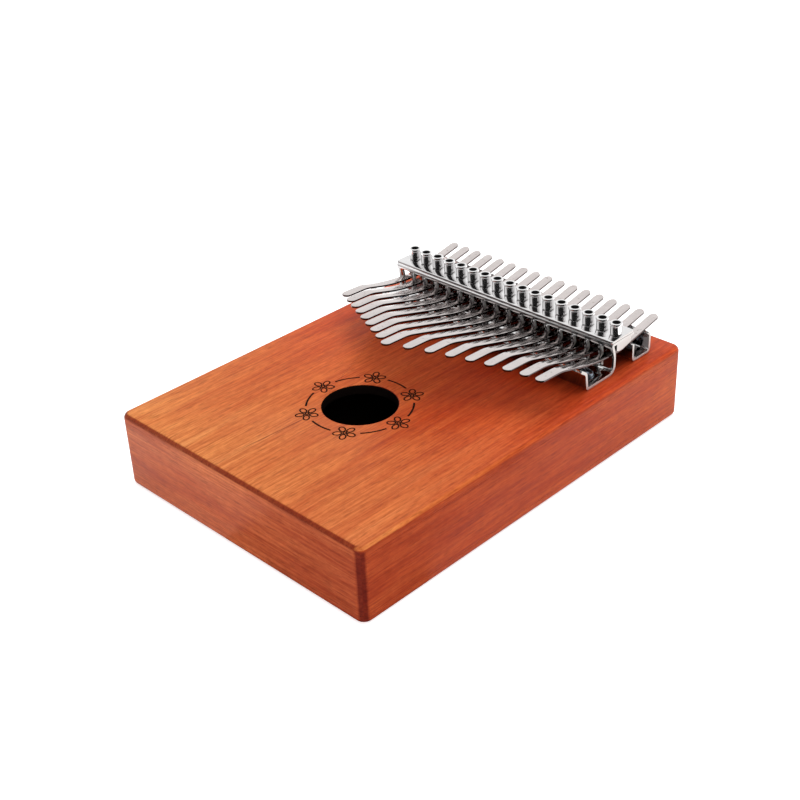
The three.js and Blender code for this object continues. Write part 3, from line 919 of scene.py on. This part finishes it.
def clamp_barrel(number):
    node = f"clamp_barrel_{number}"
    low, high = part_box(node)
    x = tine_x(number)
    seat = PLATE_HIGH.z + SEAT_GAP
    top = high.z
    outer, rim, bore, spigot = 2.35 * MM, 2.58 * MM, 1.65 * MM, 1.5 * MM
    groove = top - 1.1 * MM
    profile = [
        (0.05 * MM, low.z),
        (spigot - 0.3 * MM, low.z),
        (spigot, low.z + 0.3 * MM),
        (spigot, seat),
        (outer - 0.2 * MM, seat),
        (outer, seat + 0.2 * MM),
        (outer, groove - 0.15 * MM),
        (outer + 0.03 * MM, groove),
        (rim - 0.04 * MM, groove + 0.16 * MM),
        (rim, groove + 0.30 * MM),
        (rim, top - 0.30 * MM),
        (rim - 0.09 * MM, top - 0.10 * MM),
        (rim - 0.28 * MM, top),
        (bore + 0.14 * MM, top),
        (bore + 0.03 * MM, top - 0.06 * MM),
        (bore, top - 0.18 * MM),
    ]
    pitch, floor = 0.5 * MM, top - 3.9 * MM
    for turn in range(6):
        start = top - 0.5 * MM - turn * pitch
        profile += [(bore, start), (bore - 0.12 * MM, start - pitch / 2)]
    profile += [(bore, floor + 0.3 * MM), (bore, floor), (0.05 * MM, floor)]
    barrel = smooth(turned(f"{node}_turned", profile, x, NOSE_Y))
    dress(barrel, BARREL_CHROME, "barrel_chrome", node)
    barrel.data.materials.append(DARK_BORE)
    for face in barrel.data.polygons:
        across = math.hypot(face.center.x - x, face.center.y - NOSE_Y)
        if across < bore and face.center.z > floor - 0.1 * MM:
            face.material_index = 1

    grub_top = top - 1.9 * MM
    grub = rod(f"grub_screw_{number}", x, NOSE_Y, floor + 0.1 * MM, grub_top, 1.45 * MM)
    hexagon = rod("hexagon", x, NOSE_Y, grub_top - 1.1 * MM, grub_top + MM, 0.82 * MM, 6)
    ease_edges(carve(grub, [hexagon]), 0.1 * MM, 1)
    dress(smooth(grub, 30), DARK_BORE, "screw_steel")


def mounting_screw(name, x, y, *nodes):
    """A domed cross-recess screw head with its shank through the sheet."""
    seat = BASE_Z + SHEET / 2 + SEAT_GAP
    radius, height = 3 * MM, 1.8 * MM
    shank, point, taper = 1.4 * MM, seat - 13.9 * MM, seat - 11.5 * MM
    profile = [
        (0.05 * MM, point),
        (0.42 * MM, point),
        (shank, taper),
        (shank, seat),
        (radius - 0.1 * MM, seat),
        (radius, seat + 0.15 * MM),
        (radius, seat + 0.5 * MM),
    ]
    for step in range(1, 12):
        angle = math.pi / 2 * step / 12
        profile.append((radius * math.cos(angle), seat + 0.5 * MM + (height - 0.5 * MM) * math.sin(angle)))
    profile.append((0.05 * MM, seat + height))
    screw = turned(name, profile, x, y)
    arms = []
    bottom, top = seat + 1.0 * MM, seat + 3 * MM
    for length, breadth in ((2.4 * MM, 0.5 * MM), (0.5 * MM, 2.4 * MM)):
        rings = [rounded_ring(length, breadth, 0.1 * MM, z, (x, y), 2) for z in (bottom, top)]
        arms.append(loft("arm", rings))
    for arm in arms:
        carve(screw, [arm])
    dress(smooth(screw, 35), SCREW_STEEL, "screw_steel", *nodes)


def mounting_screws():
    rear_y = (REAR_LOW.y + REAR_HIGH.y) / 2
    for side in ("left", "right"):
        node = f"bridge_screw_{side}"
        x = sum(c.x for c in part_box(node)) / 2
        mounting_screw(f"{node}_domed", x, SCREW_Y, node)
        mounting_screw(f"rear_screw_{side}", x, rear_y)


# ---------------------------------------------------------------------------------------------------
# Tines
# ---------------------------------------------------------------------------------------------------

def tine_height(y):
    """Height of a tine's middle surface behind the lip."""
    if y < NOSE_Y:
        sag = (NOSE_Y - y) / (NOSE_Y - LIP_Y)
        return TINE_NOSE_Z + (TINE_LIP_Z - TINE_NOSE_Z) * sag * sag
    return TINE_NOSE_Z + TAIL_SLOPE * (math.hypot(y - NOSE_Y, TAIL_BEND) - TAIL_BEND)


def tongue_length(tip_y):
    """Length along the tongue that reaches a given tip."""
    straight = FINGER_LENGTH * math.cos(FINGER_RISE)
    bend = FINGER_BEND * math.cos((FINGER_RISE + TONGUE_RISE) / 2)
    rest = LIP_Y - tip_y - straight - bend
    return FINGER_LENGTH + FINGER_BEND + rest / math.cos(TONGUE_RISE)


def end_half_width(from_end):
    radius = TINE_WIDTH / 2
    return radius if from_end >= radius else math.sqrt(max(radius**2 - (radius - from_end) ** 2, 0))


def strip_section(x, y, z, rise, half):
    """A thin section with rounded edges, square to the strip at its rise towards the tip."""
    normal = Vector((0, math.sin(rise), math.cos(rise)))
    thick = TINE_THICKNESS / 2
    ease = min(0.24 * MM, half * 0.9)
    points = []
    for side, face, start in ((-1, -1, 180), (1, -1, 270), (1, 1, 0), (-1, 1, 90)):
        for step in range(4):
            angle = math.radians(start + 30 * step)
            across = side * (half - ease) + ease * math.cos(angle)
            through = face * (thick - ease) + ease * math.sin(angle)
            points.append(Vector((x + across, y, z)) + normal * through)
    return points


def tine(number):
    tongue, tail = f"tine_{number}", f"tine_tail_{number}"
    x = tine_x(number)
    tip_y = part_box(tongue)[0].y
    tail_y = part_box(tail)[1].y
    end_steps = [TINE_WIDTH / 2 * (1 - math.cos(math.pi / 2 * k / 8)) for k in range(1, 9)]
    start = 0.03 * MM

    tail_stations = [tail_y - d for d in [start, *end_steps]]
    tail_stations += list(np.arange(tail_y - TINE_WIDTH / 2 - 1.5 * MM, NOSE_Y + 3 * MM, -2 * MM))
    tail_stations += list(np.arange(NOSE_Y + 3 * MM, NOSE_Y - 3 * MM, -0.5 * MM))
    tail_stations += list(np.arange(NOSE_Y - 3 * MM, LIP_Y + 1 * MM, -1.5 * MM))
    rings = []
    probe = 0.02 * MM
    for y in tail_stations:
        rise = math.atan2(tine_height(y - probe) - tine_height(y + probe), 2 * probe)
        rings.append(strip_section(x, y, tine_height(y), rise, end_half_width(tail_y - y)))

    length = tongue_length(tip_y)
    bend_end = length - FINGER_LENGTH
    bend_start = bend_end - FINGER_BEND
    runs = list(np.arange(0, bend_start, 1.5 * MM))
    runs += [bend_start + FINGER_BEND * k / 8 for k in range(9)]
    runs += list(np.arange(bend_end + MM, length - TINE_WIDTH / 2 - 0.5 * MM, 2 * MM))
    runs += [length - d for d in [*reversed(end_steps), start]]
    y, z, run = LIP_Y, TINE_LIP_Z, 0.0
    for here in runs:
        middle = (here + run) / 2
        ease = lambda at: min(max((at - bend_start) / FINGER_BEND, 0), 1)
        rise = TONGUE_RISE + (FINGER_RISE - TONGUE_RISE) * ease(middle)
        y -= (here - run) * math.cos(rise)
        z += (here - run) * math.sin(rise)
        run = here
        rise = TONGUE_RISE + (FINGER_RISE - TONGUE_RISE) * ease(here)
        rings.append(strip_section(x, y, z, rise, end_half_width(length - here)))

    strip = smooth(loft(f"{tongue}_strip", rings), 50)
    strip.data.materials.append(SPRING_STEEL)
    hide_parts(tongue, tail)
    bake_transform(strip)


# ---------------------------------------------------------------------------------------------------
# Studio
# ---------------------------------------------------------------------------------------------------

def studio_floor():
    size = 3
    corners = [(-size, -size, 0), (size, -size, 0), (size, size, 0), (-size, size, 0)]
    floor = new_object("floor", corners, [(0, 1, 2, 3)])
    floor.location.z = -0.05 * MM
    floor.data.materials.append(pale_floor("floor"))


def reflection_card():
    """Black card on the floor on the viewer's side that only mirror-like metal sees."""
    near, far, height = 90 * MM, 2.5, 0.5 * MM
    start, sweep, steps = -95, 112, 24
    angles = [math.radians(start + sweep * k / steps) for k in range(steps + 1)]
    inner = [(near * math.cos(a), near * math.sin(a), height) for a in angles]
    outer = [(far * math.cos(a), far * math.sin(a), height) for a in angles]
    faces = [(k, k + 1, k + steps + 2, k + steps + 1) for k in range(steps)]
    card = new_object("black_card", inner + outer, faces)
    card.data.materials.append(black_card("black_card"))
    card.visible_camera = False
    card.visible_diffuse = False
    card.visible_shadow = False
    card.visible_transmission = False


def soft_light(name, place, aim, size, power):
    light = bpy.data.lights.new(name, "AREA")
    light.shape = "RECTANGLE"
    light.size, light.size_y = size
    light.energy = power
    obj = bpy.data.objects.new(name, light)
    bpy.context.scene.collection.objects.link(obj)
    obj.location = place
    obj.rotation_euler = (Vector(place) - Vector(aim)).to_track_quat("Z", "Y").to_euler()
    obj.visible_glossy = False


def studio_world():
    """White backdrop, grey room light, and for reflections a room that is dark behind the viewer."""
    world = bpy.data.worlds.new("studio")
    bpy.context.scene.world = world
    world.use_nodes = True
    tree = world.node_tree
    background = tree.nodes["Background"]

    def ramp(source, stops):
        node = tree.nodes.new("ShaderNodeValToRGB")
        elements = node.color_ramp.elements
        while len(elements) < len(stops):
            elements.new(0.5)
        for element, (position, value) in zip(elements, stops):
            element.position = position
            element.color = (value, value, value, 1)
        tree.links.new(source, node.inputs["Fac"])
        return node.outputs["Color"]

    def blend(factor, first, second):
        node = tree.nodes.new("ShaderNodeMix")
        node.data_type = "RGBA"
        for source, socket in ((factor, node.inputs[0]), (first, node.inputs[6]), (second, node.inputs[7])):
            if isinstance(source, bpy.types.NodeSocket):
                tree.links.new(source, socket)
            else:
                socket.default_value = (source, source, source, 1)
        return node.outputs[2]

    direction = tree.nodes.new("ShaderNodeTexCoord").outputs["Generated"]
    facing = tree.nodes.new("ShaderNodeVectorMath")
    facing.operation = "DOT_PRODUCT"
    facing.inputs[1].default_value = Vector((0.72, -0.68, 0.0)).normalized()
    tree.links.new(direction, facing.inputs[0])
    split = tree.nodes.new("ShaderNodeSeparateXYZ")
    tree.links.new(direction, split.inputs["Vector"])
    around = ramp(facing.outputs["Value"], ((0.0, 1.05), (0.10, 0.8), (0.40, 0.08), (0.65, 0.02)))
    overhead = ramp(split.outputs["Z"], ((0.90, 0.0), (0.97, 1.0)))
    mirrored = blend(overhead, around, 1.0)
    path = tree.nodes.new("ShaderNodeLightPath")
    room = blend(path.outputs["Is Glossy Ray"], 0.36, mirrored)
    tree.links.new(blend(path.outputs["Is Camera Ray"], room, 1.0), background.inputs["Color"])
    background.inputs["Strength"].default_value = 1.0


def studio_camera():
    azimuth, elevation, roll = (math.radians(v) for v in (45.71, 30.83, -2.62))
    aim = Vector((-4.7, -0.7, 20.7)) * MM
    distance = 552.9 * MM
    back = Vector((
        math.sin(azimuth) * math.cos(elevation),
        -math.cos(azimuth) * math.cos(elevation),
        math.sin(elevation),
    ))
    data = bpy.data.cameras.new("camera")
    data.lens = 61.4
    data.sensor_width = 36
    data.clip_start = 0.01
    camera = bpy.data.objects.new("camera", data)
    bpy.context.scene.collection.objects.link(camera)
    camera.location = aim + back * distance
    camera.rotation_mode = "QUATERNION"
    camera.rotation_quaternion = back.to_track_quat("Z", "Y") @ Quaternion((0, 0, 1), roll)
    bpy.context.scene.camera = camera


soundboard()
body_frame()
back_plate()
drawing()
bridge_channel()
top_plate()
clamp_bar()
rear_channel()
mounting_screws()
for tine_number in TINES:
    clamp_barrel(tine_number)
    tine(tine_number)

studio_floor()
reflection_card()
studio_world()
soft_light("key", (-0.1, 0.30, 1.0), (0, 0, 0), (1.0, 1.0), 11)
soft_light("fill", (0.9, -0.5, 0.8), (0, 0, 0.02), (0.8, 0.8), 3)
studio_camera()
bpy.context.scene.view_settings.view_transform = "Standard"
